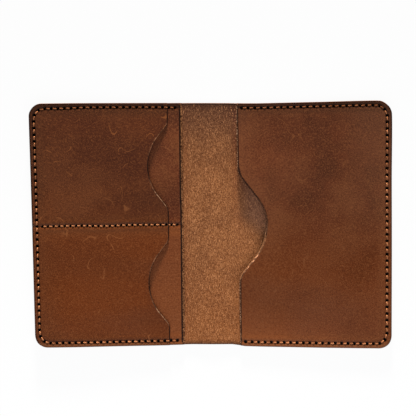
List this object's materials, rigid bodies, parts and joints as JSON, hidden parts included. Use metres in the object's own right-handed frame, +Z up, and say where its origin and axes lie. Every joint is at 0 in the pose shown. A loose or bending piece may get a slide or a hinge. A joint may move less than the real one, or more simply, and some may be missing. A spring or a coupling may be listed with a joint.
{
  "type": "passport holder",
  "caption": "Folding leather passport holder, shown open: a passport pocket on one cover, two layers of card pockets on the other, saddle stitched, with thumb notches in the pocket mouths.",
  "frame": {"origin": "middle of the spine, on the surface that the open holder lies on", "axes": "+X across the covers towards the passport side, +Y up the spine, +Z up out of the open pockets"},
  "size_m": [0.223, 0.15, 0.0074],
  "materials": {
    "cover_leather": "oiled pull-up grain outside, brushed suede inside",
    "pocket_leather": "oiled pull-up grain, satin",
    "thread": "waxed, twisted"
  },
  "bodies": {
    "spine": {"cover_spine": "cover_leather"},
    "left_cover": {"cover_left": "cover_leather", "rear_card_panel": "pocket_leather", "front_card_panel": "pocket_leather", "card_seam_thread": "thread", "divider_thread": "thread"},
    "right_cover": {"cover_right": "cover_leather", "passport_pocket": "pocket_leather", "passport_seam_thread": "thread"}
  },
  "joints": [
    {"name": "left_fold", "type": "hinge", "parent": "spine", "child": "left_cover", "pos_m": [-0.0059, 0, 0.0016], "axis": [0, 1, 0], "range_deg": [0, 90]},
    {"name": "right_fold", "type": "hinge", "parent": "spine", "child": "right_cover", "pos_m": [0.0059, 0, 0.0016], "axis": [0, -1, 0], "range_deg": [0, 90]}
  ]
}
